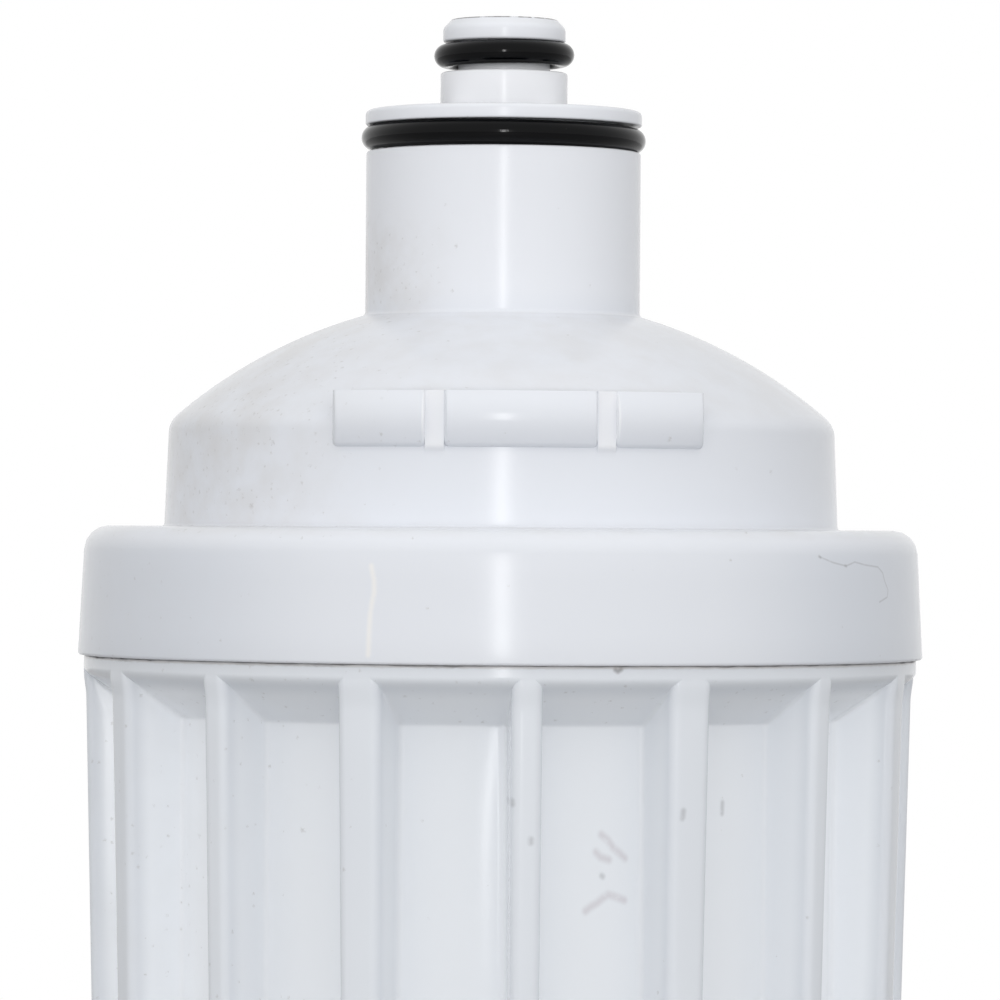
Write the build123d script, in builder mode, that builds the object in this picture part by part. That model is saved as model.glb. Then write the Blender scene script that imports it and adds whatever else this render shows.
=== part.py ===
"""Quick-change water filter cartridge: a lugged, domed cap welded onto a ribbed sump, with
the carbon element sealed inside. Millimetres, base on Z = 0, a lug on -Y and another on +Y."""

import os
from math import asin, cos, hypot, radians, sin, sqrt

from build123d import *

# Sump: the drafted, ribbed bowl
sump_height = 252.8         # base to the top of the flange that the collar closes on
flange_radius = 42.35
flange_band = 1.4           # plain band above the pockets
sump_wall = 3.0
rib_count = 16              # slim and broad ribs by turns
rib_clocking = 0.4          # degrees from the lug's centre line to a slim rib, left by the weld
rib_step = 0.2              # rib faces lie this far inside the flange
ramp_step = 0.2             # the pockets' sloped tops end this far inside the rib faces
slim_rib_width = 3.0        # at the flange
broad_rib_width = 4.3
rib_taper = 0.4             # width at the base, as a share of the width at the flange
rib_edge_round = 0.8
pocket_depth = 6.15         # at the flange
pocket_foot_depth = 1.6     # at the base
pocket_ramp = 4.2           # height of the sloped top of each pocket
floor_taper = 1.6           # the pocket floors draw in this far by the base
base_thickness = 6.0
base_round = 4.0
base_recess = 1.5
foot_width = 7.0            # flat ring that the cartridge stands on
cavity_round = 5.0

# Weld between sump and collar
weld_step = 2.35            # the sump's upstand lies this far inside its flange
weld_wall = 3.6
weld_clearance = 0.1
seam_gap = 0.3              # open seam under the collar

# Cap: collar, lugged shoulder, dome, neck and spigot
collar_height = 13.1
collar_overhang = 0.65      # beyond the flange, at the lower edge
collar_draft = 0.7          # the collar is this much slimmer at its top
collar_roof = 4.0
collar_round = 2.5
shoulder_step = 8.05        # foot of the shoulder wall, inside the flange radius
shoulder_draft = 0.43
shoulder_height = 10.6
shoulder_round = 1.6
cap_wall = 3.0
dome_rise = 11.0
neck_radius = 14.0
neck_length = 16.6
neck_fillet = 0.8
neck_wall = 1.95            # left behind the ring groove
rim_radius = 14.1           # disc above the neck ring
rim_height = 1.5
rim_round = 0.5
spigot_radius = 6.48
spigot_length = 4.2
tip_radius = 6.25
tip_height = 2.3
tip_round = 1.0
land_round = 0.3
outlet_radius = 3.0
roof_thickness = 3.4        # top of the neck, from the rim's face down
tube_wall = 2.6             # outlet tube inside the neck
port_count = 4
port_arc = 48.0             # degrees, centre line of each inlet port
port_margin = 0.35

# Ring seals and their grooves
ring_section = 2.62
ring_clearance = 0.03
groove_width = 2.8
neck_groove_radius = 11.85
spigot_groove_radius = 4.5

# Lugs on the shoulder
lug_half_angle = 31.0
lug_bar_half_angle = 11.7   # middle bar
lug_gap_angle = 3.8         # flat strip between bars
lug_low = 8.0               # above the collar's top
lug_high = 13.3
lug_pad_drop = 0.7          # the pad runs this far below the bars
lug_pad_step = 0.2          # pad face, beyond the shoulder wall's top
lug_bar_step = 0.4          # bar edges, beyond the pad
lug_bar_bulge = 1.0         # bar crown, beyond its edges

# Filter element
element_rise = 8.0          # top end cap's face above the flange
flow_gap = 2.4              # round the element at the foot of the bowl
plate_thickness = 2.5
skirt_wall = 1.8
skirt_height = 8.0
foot_count = 4
foot_height = 5.0
foot_thickness = 3.0
wrap_thickness = 0.9
net_thickness = 0.5
net_columns = 12            # a multiple of 4, so that opposite columns match
net_rows = 5
net_strand = 2.4
layer_clearance = 0.05
block_bore_radius = 9.5
plug_height = 6.0
plug_wall = 2.5
nipple_length = 11.5
nipple_groove_drop = 3.0    # nipple end to its ring groove
socket_bore_radius = 6.6
socket_wall = 2.4
socket_depth = 12.0
socket_gap = 1.0            # socket mouth above the end cap
socket_clearance = 0.15
nipple_ring_section = 1.78
nipple_groove_width = 1.95

# Heights
seat_height = sump_height + seam_gap + collar_height - collar_roof
collar_base = sump_height + seam_gap
collar_top = collar_base + collar_height
shoulder_top = collar_top + shoulder_height
neck_base = shoulder_top + dome_rise
neck_groove_low = neck_base + neck_length
neck_groove_high = neck_groove_low + groove_width
rim_top = neck_groove_high + rim_height
spigot_groove_low = rim_top + spigot_length
spigot_groove_high = spigot_groove_low + groove_width
tip_top = spigot_groove_high + tip_height
roof_base = rim_top - roof_thickness
flange_base = sump_height - flange_band
ramp_foot = flange_base - pocket_ramp
element_top = sump_height + element_rise
socket_mouth = element_top + socket_gap
socket_floor = socket_mouth + socket_depth
socket_shoulder = socket_floor + socket_wall
element_base = base_thickness + foot_height
block_low = element_base + plate_thickness
block_high = element_top - plate_thickness
wrap_low = element_base + skirt_height
wrap_high = element_top - skirt_height
nipple_top = element_top + nipple_length
nipple_groove_high = nipple_top - nipple_groove_drop
nipple_groove_low = nipple_groove_high - nipple_groove_width

# Radii
rib_radius = flange_radius - rib_step
ramp_radius = rib_radius - ramp_step
floor_radius = rib_radius - pocket_depth
floor_foot_radius = floor_radius - floor_taper
rib_foot_radius = floor_foot_radius + pocket_foot_depth
cavity_radius = floor_radius - sump_wall
cavity_foot_radius = floor_foot_radius - sump_wall
weld_radius = flange_radius - weld_step
weld_bore = weld_radius + weld_clearance
upstand_bore = weld_radius - weld_wall
collar_foot_radius = flange_radius + collar_overhang
collar_radius = collar_foot_radius - collar_draft
shoulder_foot_radius = flange_radius - shoulder_step
shoulder_radius = shoulder_foot_radius - shoulder_draft
cap_foot_bore = shoulder_foot_radius - cap_wall
cap_bore = shoulder_radius - cap_wall
neck_bore = neck_groove_radius - neck_wall
tube_radius = outlet_radius + tube_wall
port_radius = (spigot_radius + neck_bore) / 2
port_width = neck_bore - spigot_radius - 2 * port_margin
pad_radius = shoulder_radius + lug_pad_step
pad_root = cap_bore + cap_wall / 2
socket_radius = socket_bore_radius + socket_wall
skirt_radius = cavity_foot_radius - flow_gap
block_radius = skirt_radius - skirt_wall
skirt_bore = block_radius + layer_clearance
wrap_bore = block_radius + layer_clearance
wrap_radius = wrap_bore + wrap_thickness
net_bore = wrap_radius + layer_clearance
net_radius = net_bore + net_thickness
plug_radius = block_bore_radius - layer_clearance
plug_bore = plug_radius - plug_wall
nipple_radius = socket_bore_radius - socket_clearance
nipple_groove_radius = nipple_radius + socket_clearance / 2 - nipple_ring_section

# Dome: part of a sphere through the shoulder's top and the neck's base, centred on the axis
dome_centre = (
    neck_base**2 - shoulder_top**2 + neck_radius**2 - shoulder_radius**2
) / (2 * dome_rise)
dome_radius = sqrt((neck_base - dome_centre) ** 2 + neck_radius**2)
inner_dome_radius = dome_radius - cap_wall


def dome_point(sphere, radius):
    """Point at this radius on a sphere round the dome's centre, as (radius, height)."""
    return (radius, dome_centre + sqrt(sphere**2 - radius**2))


def dome_middle(sphere, inner, outer):
    """Point halfway along the dome's arc between two radii."""
    turn = (asin(inner / sphere) + asin(outer / sphere)) / 2
    return (sphere * sin(turn), dome_centre + sphere * cos(turn))


def upright(turn):
    """Plane through the Z axis whose X runs outward at this angle from +X, with Y up."""
    across = radians(turn)
    return Plane(
        origin=(0, 0, 0),
        x_dir=(cos(across), sin(across), 0),
        z_dir=(sin(across), -cos(across), 0),
    )


def corner(sketch, radius, height):
    """Corner of a profile nearest to this radius and height."""
    return sketch.vertices().sort_by_distance((radius, height, 0))[0]


# Ribs, tapered in depth and in width, set round the sump by turns
rib_turn = 360 / rib_count
ribs = []
for width, start in ((slim_rib_width, rib_clocking), (broad_rib_width, rib_clocking + rib_turn)):
    with BuildPart() as rib:
        with BuildSketch(Plane.XY) as rib_foot:
            with Locations((rib_foot_radius, 0)):
                Rectangle(
                    pocket_foot_depth + sump_wall / 2,
                    rib_taper * width,
                    align=(Align.MAX, Align.CENTER),
                )
            foot_round = min(rib_edge_round, 0.4 * rib_taper * width)
            fillet(rib_foot.vertices().group_by(Axis.X)[-1], foot_round)
        with BuildSketch(Plane.XY.offset(flange_base + flange_band / 2)) as rib_head:
            with Locations((rib_radius, 0)):
                Rectangle(pocket_depth + sump_wall / 2, width, align=(Align.MAX, Align.CENTER))
            head_round = min(rib_edge_round, 0.4 * width)
            fillet(rib_head.vertices().group_by(Axis.X)[-1], head_round)
        loft(ruled=True)
    ribs.append((rib.part, start - 90))

with BuildPart() as sump:
    with BuildSketch(Plane.XZ) as sump_profile:
        with BuildLine():
            Polyline(
                (0, base_recess),
                (rib_foot_radius - base_round - foot_width, base_recess),
                (rib_foot_radius - base_round - foot_width, 0),
                (floor_foot_radius, 0),
                (floor_radius, ramp_foot),
                (ramp_radius, flange_base),
                (flange_radius, flange_base),
                (flange_radius, sump_height),
                (weld_radius, sump_height),
                (weld_radius, seat_height),
                (upstand_bore, seat_height),
                (upstand_bore, sump_height + flange_band),
                (cavity_radius, ramp_foot + flange_band),
                (cavity_foot_radius, base_thickness),
                (0, base_thickness),
                close=True,
            )
        make_face()
        fillet(corner(sump_profile, cavity_foot_radius, base_thickness), cavity_round)
    revolve(axis=Axis.Z)
    for shape, start in ribs:
        with PolarLocations(0, rib_count // 2, start_angle=start):
            add(shape)
    with BuildSketch(Plane.XZ):
        with BuildLine():
            edge = RadiusArc(
                (rib_foot_radius - base_round, 0), (rib_foot_radius, base_round), -base_round
            )
            Polyline(
                edge @ 1,
                (flange_radius, base_round),
                (flange_radius, -base_round),
                (rib_foot_radius - base_round, -base_round),
                edge @ 0,
            )
        make_face()
    revolve(axis=Axis.Z, mode=Mode.SUBTRACT)

with BuildPart() as cap:
    with BuildSketch(Plane.XZ) as cap_profile:
        with BuildLine():
            Polyline(
                dome_point(inner_dome_radius, neck_bore),
                (neck_bore, roof_base),
                (tube_radius, roof_base),
                (tube_radius, socket_shoulder + socket_radius - tube_radius),
                (socket_radius, socket_shoulder),
                (socket_radius, socket_mouth),
                (socket_bore_radius, socket_mouth),
                (socket_bore_radius, socket_floor),
                (outlet_radius, socket_floor),
                (outlet_radius, tip_top),
                (tip_radius, tip_top),
                (tip_radius, spigot_groove_high),
                (spigot_groove_radius, spigot_groove_high),
                (spigot_groove_radius, spigot_groove_low),
                (spigot_radius, spigot_groove_low),
                (spigot_radius, rim_top),
                (rim_radius, rim_top),
                (rim_radius, neck_groove_high),
                (neck_groove_radius, neck_groove_high),
                (neck_groove_radius, neck_groove_low),
                (neck_radius, neck_groove_low),
                (neck_radius, neck_base),
            )
            ThreePointArc(
                (neck_radius, neck_base),
                dome_middle(dome_radius, neck_radius, shoulder_radius),
                (shoulder_radius, shoulder_top),
            )
            Polyline(
                (shoulder_radius, shoulder_top),
                (shoulder_foot_radius, collar_top),
                (collar_radius, collar_top),
                (collar_foot_radius, collar_base),
                (weld_bore, collar_base),
                (weld_bore, seat_height),
                (cap_foot_bore, seat_height),
                dome_point(inner_dome_radius, cap_bore),
            )
            ThreePointArc(
                dome_point(inner_dome_radius, cap_bore),
                dome_middle(inner_dome_radius, neck_bore, cap_bore),
                dome_point(inner_dome_radius, neck_bore),
            )
        make_face()
        fillet(corner(cap_profile, tip_radius, tip_top), tip_round)
        fillet(corner(cap_profile, spigot_radius, spigot_groove_low), land_round)
        fillet(corner(cap_profile, rim_radius, rim_top), rim_round)
        fillet(corner(cap_profile, neck_radius, neck_groove_low), land_round)
        fillet(corner(cap_profile, neck_radius, neck_base), neck_fillet)
        fillet(corner(cap_profile, shoulder_radius, shoulder_top), shoulder_round)
        fillet(corner(cap_profile, collar_radius, collar_top), collar_round)
        fillet(corner(cap_profile, collar_foot_radius, collar_base), land_round)
    revolve(axis=Axis.Z)
    # Inlet ports round the spigot, into the neck
    with BuildSketch(Plane.XY.offset(roof_base)):
        with PolarLocations(0, port_count):
            SlotArc(CenterArc((0, 0), port_radius, -port_arc / 2, port_arc), port_width)
    extrude(amount=roof_thickness, mode=Mode.SUBTRACT)
    # Lug pads, then the three bars of each lug
    bar_inner = lug_bar_half_angle + lug_gap_angle
    bars = (
        (-lug_half_angle, -bar_inner),
        (-lug_bar_half_angle, lug_bar_half_angle),
        (bar_inner, lug_half_angle),
    )
    for front in (-90, 90):
        with BuildSketch(upright(front - lug_half_angle)):
            with Locations((pad_root, collar_top + lug_low - lug_pad_drop)):
                Rectangle(
                    pad_radius - pad_root,
                    lug_high - lug_low + lug_pad_drop,
                    align=(Align.MIN, Align.MIN),
                )
        revolve(axis=Axis.Z, revolution_arc=2 * lug_half_angle)
        for start, end in bars:
            with BuildSketch(upright(front + start)):
                with BuildLine():
                    Polyline(
                        (pad_radius + lug_bar_step, collar_top + lug_low),
                        (pad_root, collar_top + lug_low),
                        (pad_root, collar_top + lug_high),
                        (pad_radius + lug_bar_step, collar_top + lug_high),
                    )
                    ThreePointArc(
                        (pad_radius + lug_bar_step, collar_top + lug_high),
                        (
                            pad_radius + lug_bar_step + lug_bar_bulge,
                            collar_top + (lug_low + lug_high) / 2,
                        ),
                        (pad_radius + lug_bar_step, collar_top + lug_low),
                    )
                make_face()
            revolve(axis=Axis.Z, revolution_arc=end - start)

with BuildPart() as neck_ring:
    with BuildSketch(Plane.XZ):
        with Locations(
            (
                neck_groove_radius + ring_clearance + ring_section / 2,
                (neck_groove_low + neck_groove_high) / 2,
            )
        ):
            Circle(ring_section / 2)
    revolve(axis=Axis.Z)

with BuildPart() as spigot_ring:
    with BuildSketch(Plane.XZ):
        with Locations(
            (
                spigot_groove_radius + ring_clearance + ring_section / 2,
                (spigot_groove_low + spigot_groove_high) / 2,
            )
        ):
            Circle(ring_section / 2)
    revolve(axis=Axis.Z)

with BuildPart() as top_end_cap:
    with BuildSketch(Plane.XZ):
        with BuildLine():
            Polyline(
                (outlet_radius, nipple_top),
                (nipple_radius, nipple_top),
                (nipple_radius, nipple_groove_high),
                (nipple_groove_radius, nipple_groove_high),
                (nipple_groove_radius, nipple_groove_low),
                (nipple_radius, nipple_groove_low),
                (nipple_radius, element_top),
                (skirt_radius, element_top),
                (skirt_radius, wrap_high),
                (skirt_bore, wrap_high),
                (skirt_bore, block_high),
                (plug_radius, block_high),
                (plug_radius, block_high - plug_height),
                (plug_bore, block_high - plug_height),
                (plug_bore, block_high),
                (outlet_radius, block_high),
                close=True,
            )
        make_face()
    revolve(axis=Axis.Z)

with BuildPart() as nipple_ring:
    with BuildSketch(Plane.XZ):
        with Locations(
            (
                nipple_groove_radius + ring_clearance + nipple_ring_section / 2,
                (nipple_groove_low + nipple_groove_high) / 2,
            )
        ):
            Circle(nipple_ring_section / 2)
    revolve(axis=Axis.Z)

with BuildPart() as carbon_block:
    with BuildSketch(Plane.XY.offset(block_low)):
        Circle(block_radius)
        Circle(block_bore_radius, mode=Mode.SUBTRACT)
    extrude(amount=block_high - block_low)

with BuildPart() as prefilter_wrap:
    with BuildSketch(Plane.XY.offset(wrap_low)):
        Circle(wrap_radius)
        Circle(wrap_bore, mode=Mode.SUBTRACT)
    extrude(amount=wrap_high - wrap_low)

# Net sleeve: long diamond gaps in staggered columns, cut through both sides at once
with BuildPart() as net_sleeve:
    with BuildSketch(Plane.XY.offset(wrap_low)):
        Circle(net_radius)
        Circle(net_bore, mode=Mode.SUBTRACT)
    extrude(amount=wrap_high - wrap_low)
    net_pitch = (wrap_high - wrap_low) / net_rows
    column_step = net_radius * sin(radians(360 / net_columns))
    gap_share = 1 - net_strand * hypot(1 / column_step, 2 / net_pitch) / 2
    for column in range(net_columns // 2):
        with BuildSketch(upright(360 / net_columns * column)):
            with Locations((0, (wrap_low + wrap_high) / 2)):
                with GridLocations(0, net_pitch, 1, net_rows - column % 2):
                    Polygon(
                        (-gap_share * column_step, 0),
                        (0, -gap_share * net_pitch / 2),
                        (gap_share * column_step, 0),
                        (0, gap_share * net_pitch / 2),
                    )
        extrude(amount=net_radius + net_strand, both=True, mode=Mode.SUBTRACT)

with BuildPart() as bottom_end_cap:
    with BuildSketch(Plane.XZ):
        with BuildLine():
            Polyline(
                (0, element_base),
                (skirt_radius, element_base),
                (skirt_radius, wrap_low),
                (skirt_bore, wrap_low),
                (skirt_bore, block_low),
                (plug_radius, block_low),
                (plug_radius, block_low + plug_height),
                (plug_bore, block_low + plug_height),
                (plug_bore, block_low),
                (0, block_low),
                close=True,
            )
        make_face()
    revolve(axis=Axis.Z)
    # Feet that stand the element on the floor of the sump
    with BuildSketch(Plane.XY.offset(base_thickness)):
        with PolarLocations(0, foot_count):
            with Locations((cavity_foot_radius - cavity_round, 0)):
                Rectangle(block_bore_radius, foot_thickness, align=(Align.MAX, Align.CENTER))
    extrude(amount=foot_height)

os.makedirs("parts", exist_ok=True)
pieces = {
    "sump": sump,
    "cap": cap,
    "neck_o_ring": neck_ring,
    "spigot_o_ring": spigot_ring,
    "top_end_cap": top_end_cap,
    "nipple_o_ring": nipple_ring,
    "carbon_block": carbon_block,
    "prefilter_wrap": prefilter_wrap,
    "net_sleeve": net_sleeve,
    "bottom_end_cap": bottom_end_cap,
}
for name, piece in pieces.items():
    piece.part.label = name
    export_step(piece.part, f"parts/{name}.step")
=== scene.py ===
"""Looks of the water filter cartridge: a white, domed and lugged cap welded onto a ribbed sump,
with two black ring seals. Metres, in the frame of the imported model: base on Z = 0, a lug on -Y."""
from math import acos, asin, atan2, cos, hypot, pi, radians, sin, sqrt, tan

import bmesh
import bpy
import numpy as np
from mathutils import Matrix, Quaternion, Vector


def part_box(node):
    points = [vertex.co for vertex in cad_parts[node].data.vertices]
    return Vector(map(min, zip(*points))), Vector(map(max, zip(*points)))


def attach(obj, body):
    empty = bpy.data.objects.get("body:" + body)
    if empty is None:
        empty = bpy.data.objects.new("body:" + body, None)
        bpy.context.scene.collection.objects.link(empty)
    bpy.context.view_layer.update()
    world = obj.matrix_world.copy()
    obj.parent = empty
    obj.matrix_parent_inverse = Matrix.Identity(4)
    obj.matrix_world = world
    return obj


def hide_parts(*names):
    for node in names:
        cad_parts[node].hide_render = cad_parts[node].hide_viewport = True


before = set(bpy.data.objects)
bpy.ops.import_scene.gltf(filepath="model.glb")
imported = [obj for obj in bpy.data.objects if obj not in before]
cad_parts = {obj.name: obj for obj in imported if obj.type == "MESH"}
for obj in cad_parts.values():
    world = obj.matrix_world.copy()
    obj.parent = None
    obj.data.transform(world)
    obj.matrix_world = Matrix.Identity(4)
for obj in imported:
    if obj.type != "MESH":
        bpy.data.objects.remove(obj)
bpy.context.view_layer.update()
MM = 0.001

# Heights and rings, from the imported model
collar_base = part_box("cap")[0].z
tip_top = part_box("cap")[1].z
seat_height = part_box("sump")[1].z

# Sump
sump_height = 252.8 * MM
flange_radius = 42.35 * MM
flange_base = 251.4 * MM
flange_round = 0.2 * MM
flash_share = 0.9                # mean share of the seam under the collar that weld flash fills
weld_depth = 0.3 * MM            # the weld bead stands this far inside the seam
weld_gap = 0.02 * MM
flange_blend = 2.5 * MM          # the rib faces ease out to the flange over this height
rib_count = 16
rib_clocking = radians(0.4)
rib_radius = 42.15 * MM
rib_foot_radius = 36.0 * MM
rib_half_widths = (1.5 * MM, 2.15 * MM)   # slim and broad ribs by turns
rib_taper = 0.4                  # width at the base, as a share of that at the flange
rib_edge_round = 0.9 * MM
rib_root_round = 0.5 * MM
floor_radius = 36.0 * MM
floor_foot_radius = 34.4 * MM
ramp_foot = 247.2 * MM
ramp_foot_round = 0.25 * MM
ramp_top_round = 0.8 * MM
wall_top = 252.1 * MM            # above this the band under the collar is plain
floor_pillow = 0.16 * MM         # moulding bulge in the middle of each pocket floor
pillow_run = 14.0 * MM           # height over which the bulge grows below the ramp
base_round = 4.0 * MM
base_recess = 1.5 * MM
base_thickness = 6.0 * MM
foot_radius = 32.0 * MM
recess_radius = 25.0 * MM
upstand_radius = 40.0 * MM
upstand_bore = 36.4 * MM
cavity_radius = 33.0 * MM
cavity_foot_radius = 31.4 * MM
cavity_round = 5.0 * MM
cavity_shoulder = 248.6 * MM
upstand_shoulder = 254.2 * MM

# Cap
collar_top = 266.2 * MM
collar_foot_radius = 42.98 * MM
collar_radius = 42.3 * MM
collar_round = 2.5 * MM
collar_foot_round = 0.3 * MM
weld_bore = 40.1 * MM
shoulder_foot_radius = 34.3 * MM
shoulder_radius = 33.87 * MM
shoulder_top = 276.8 * MM
shoulder_blend = 1.0 * MM
shoulder_root_round = 0.3 * MM
cap_wall = 3.0 * MM
neck_base = 287.8 * MM
neck_radius = 14.0 * MM
neck_fillet = 0.5 * MM
neck_groove_low = 304.5 * MM
neck_groove_high = 307.2 * MM
neck_groove_radius = 11.85 * MM
neck_bore = 9.9 * MM
rim_top = 308.7 * MM
rim_radius = 14.1 * MM
rim_round = 0.5 * MM
roof_base = 305.3 * MM
spigot_radius = 6.48 * MM
spigot_groove_low = 312.6 * MM
spigot_groove_high = 315.7 * MM
spigot_groove_radius = 4.7 * MM
tip_radius = 6.25 * MM
tip_chamfer = 0.85 * MM
tip_round = 0.9 * MM
outlet_radius = 3.0 * MM
outlet_round = 0.3 * MM
land_round = 0.25 * MM
tube_radius = 5.6 * MM
socket_radius = 9.0 * MM
socket_bore = 6.6 * MM
socket_mouth = 261.8 * MM
socket_floor = 273.8 * MM
socket_shoulder = 276.2 * MM
port_count = 4
port_arc = radians(48)
port_radius = 8.19 * MM
port_width = 2.72 * MM
neck_ring_lie = (1.26 * MM, 305.82 * MM, radians(-0.4))    # section radius, height and tilt
spigot_ring_lie = (1.2 * MM, 314.4 * MM, radians(0.9))
cap_columns = 240
longest_step = 3.0 * MM

# Lugs: a pad with three crowned bars, at the front and at the back
lug_turns = (0.0, pi)
lug_half_angle = radians(32.05)
lug_bars = ((-32.05, -15.8), (-12.6, 12.6), (15.8, 32.05))
lug_gap = radians(14.2)          # middle of the strips between the bars, from the lug's middle
lug_pad_low = 273.5 * MM
lug_bar_low = 274.2 * MM
lug_high = 279.5 * MM
lug_pad_radius = 34.07 * MM
lug_bar_step = 0.4 * MM
lug_strip = 0.65                 # strips between the bars, as a share of that step
lug_bar_bulge = 1.0 * MM
lug_end_round = 0.25 * MM
lug_corner_round = 0.5 * MM
lug_zone_low = 270.5 * MM
lug_zone_high = 281.0 * MM

# Camera, as the photograph stands: level with the collar's top, a little left of the lug
camera_distance = 630 * MM
camera_turn = radians(-3.2)
camera_height = collar_top
camera_roll = radians(0.4)
camera_lens = 222.3
aim_rise = 2.86 * MM
aim_left = 0.12 * MM

# Light: a wide dome of light from the front and above, dark behind, and one soft lamp
dome_light_rise = radians(23)
dome_light_front = 1.055
dome_light_back = 0.0
dome_light_edge = (-0.3, 0.42)   # cosines from its middle between which it fades in
key_turn = camera_turn + radians(0.3)
key_rise = radians(4.75)
key_distance = 1.0
key_size = (0.045, 0.36)
key_radiance = 30.0
stage_radius = 2.4

# Marks, as (degrees from -Y, height in mm)
seam_height = 252.97 * MM
hair_lines = (
    ((43.84, 263.6), (46.57, 263.06), (49.5, 262.72), (51.67, 263.11), (54.26, 262.82),
     (58.02, 262.61), (59.47, 262.02), (59.98, 261.23), (61.03, 260.33), (60.7, 259.64),
     (58.09, 259.16)),
)
# A flow line on the collar, its glint painted as a pale stroke
glint_lines = (
    ((-20.11, 262.49), (-19.7, 261.16), (-19.62, 260.01), (-20.07, 258.29), (-20.19, 256.38),
     (-20.23, 254.0)),
)
scuff_lines = (
    ((12.69, 236.71), (13.75, 236.18), (14.73, 235.35), (15.72, 234.91), (16.55, 234.42)),
    ((11.87, 235.03), (12.63, 234.54), (13.93, 234.29)),
    ((10.29, 229.37), (10.99, 229.73), (12.17, 230.16), (13.0, 230.59), (13.89, 230.92),
     (14.79, 230.77), (16.53, 230.37)),
)
dash_lines = (
    ((21.8, 239.2), (21.7, 238.5)),
    ((33.87, 239.6), (33.79, 238.6)),
    ((12.8, 232.75), (13.0, 232.67)),
    ((-1.54, 240.2), (-1.5, 239.9)),
    ((1.0, 236.55), (0.97, 236.25)),
)
blot_lines = (((11.9, 252.75), (12.2, 252.6)), ((12.2, 252.6), (12.6, 252.8)))
dot_lines = (((43.7, 263.66), (43.95, 263.57)), ((49.3, 262.75), (49.6, 262.7)))
cap_marks = (
    (hair_lines, 0.15 * MM, 0.3, (0.22, 0.21, 0.21)),
    (dot_lines, 0.26 * MM, 0.34, (0.22, 0.21, 0.21)),
    # Painted glint of the flow line
    (glint_lines, 0.45 * MM, 0.5, (0.95, 0.92, 0.87)),
)
sump_marks = (
    (scuff_lines, 0.66 * MM, 0.3, (0.42, 0.34, 0.38)),
    (dash_lines, 0.5 * MM, 0.36, (0.25, 0.25, 0.26)),
    (blot_lines, 0.42 * MM, 0.6, (0.16, 0.15, 0.15)),
)


# Mesh helpers

def rounded(corners, steps=6):
    """Open outline through (radius, height, round) corners, with an arc at each inner one."""
    points = [np.array(corners[0][:2])]
    for before, corner, after in zip(corners, corners[1:], corners[2:]):
        here = np.array(corner[:2])
        back = np.array(before[:2]) - here
        ahead = np.array(after[:2]) - here
        room = 0.45 * min(np.linalg.norm(back), np.linalg.norm(ahead))
        back = back / np.linalg.norm(back)
        ahead = ahead / np.linalg.norm(ahead)
        half = acos(max(-1.0, min(1.0, float(back @ ahead)))) / 2
        if corner[2] == 0 or half > radians(88):
            points.append(here)
            continue
        cut = min(corner[2] / tan(half), room)
        radius = cut * tan(half)
        middle = (back + ahead) / np.linalg.norm(back + ahead)
        centre = here + middle * radius / sin(half)
        start = (here + back * cut - centre) / radius
        end = (here + ahead * cut - centre) / radius
        sweep = pi - 2 * half
        for step in range(steps + 1):
            share = step / steps
            turned = start * sin((1 - share) * sweep) + end * sin(share * sweep)
            points.append(centre + turned / sin(sweep) * radius)
    points.append(np.array(corners[-1][:2]))
    return points


def divided(points, longest):
    """The same outline with its long stretches cut into equal steps."""
    made = [points[0]]
    for start, end in zip(points, points[1:]):
        count = max(1, int(np.ceil(np.linalg.norm(end - start) / longest)))
        made += [start + (end - start) * step / count for step in range(1, count + 1)]
    return made


def soft_min(first, second, width):
    """The lesser of two values, rounded off where they cross."""
    blend = max(width - abs(first - second), 0) / width
    return min(first, second) - blend * blend * width / 4


def polar(radius, turn, height):
    """Point at this radius and angle from -Y, turning towards +X."""
    return (radius * sin(turn), -radius * cos(turn), height)


def mesh_object(name, points, faces):
    """Closed, smoothly shaded mesh that faces outward."""
    mesh = bpy.data.meshes.new(name)
    mesh.from_pydata(points, [], faces)
    build = bmesh.new()
    build.from_mesh(mesh)
    bmesh.ops.recalc_face_normals(build, faces=build.faces)
    build.to_mesh(mesh)
    build.free()
    shade(mesh)
    piece = bpy.data.objects.new(name, mesh)
    bpy.context.scene.collection.objects.link(piece)
    return piece


def shade(mesh):
    """Smooth, with real corners kept sharp."""
    mesh.shade_smooth()
    mesh.set_sharp_from_angle(angle=radians(38))


def ring_faces(ring_count, size, closed):
    """Quads between neighbouring rings of points, and back to the first ring if closed."""
    faces = []
    for ring in range(ring_count if closed else ring_count - 1):
        low = ring * size
        high = (ring + 1) % ring_count * size
        for place in range(size):
            after = (place + 1) % size
            faces.append((low + place, low + after, high + after, high + place))
    return faces


def finish_piece(piece, node_name, material):
    """Hands a piece to the frame as what is shown of a node."""
    piece.data.materials.clear()
    piece.data.materials.append(material)
    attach(piece, "root")
    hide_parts(node_name)


# Sump

def smooth(value):
    """Smooth step from 0 to 1 as the value goes from 0 to 1."""
    held = min(1.0, max(0.0, value))
    return held * held * (3 - 2 * held)


def sump_wall_at(height):
    """Radius of the pocket floor and radius of the rib face."""
    share = height / ramp_foot
    floor = floor_foot_radius + (floor_radius - floor_foot_radius) * share
    slope = (flange_radius - floor_radius) / (flange_base - ramp_foot)
    ramp = floor_radius + (height - ramp_foot) * slope
    floor = -soft_min(-floor, -ramp, ramp_foot_round)
    face = rib_foot_radius + (rib_radius - rib_foot_radius) * height / flange_base
    face += (flange_radius - face) * smooth((height - flange_base + flange_blend) / flange_blend)
    floor = soft_min(floor, face, ramp_top_round)
    if height < base_round:
        edge = foot_radius + sqrt(base_round**2 - (base_round - height) ** 2)
        face = min(face, edge)
        floor = min(floor, edge)
    return floor, max(face, floor + 0.01 * MM)


def rib_half_at(height, half_width):
    """Half width of a rib, drafted towards the base."""
    return half_width * (rib_taper + (1 - rib_taper) * min(1.0, height / flange_base))


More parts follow.
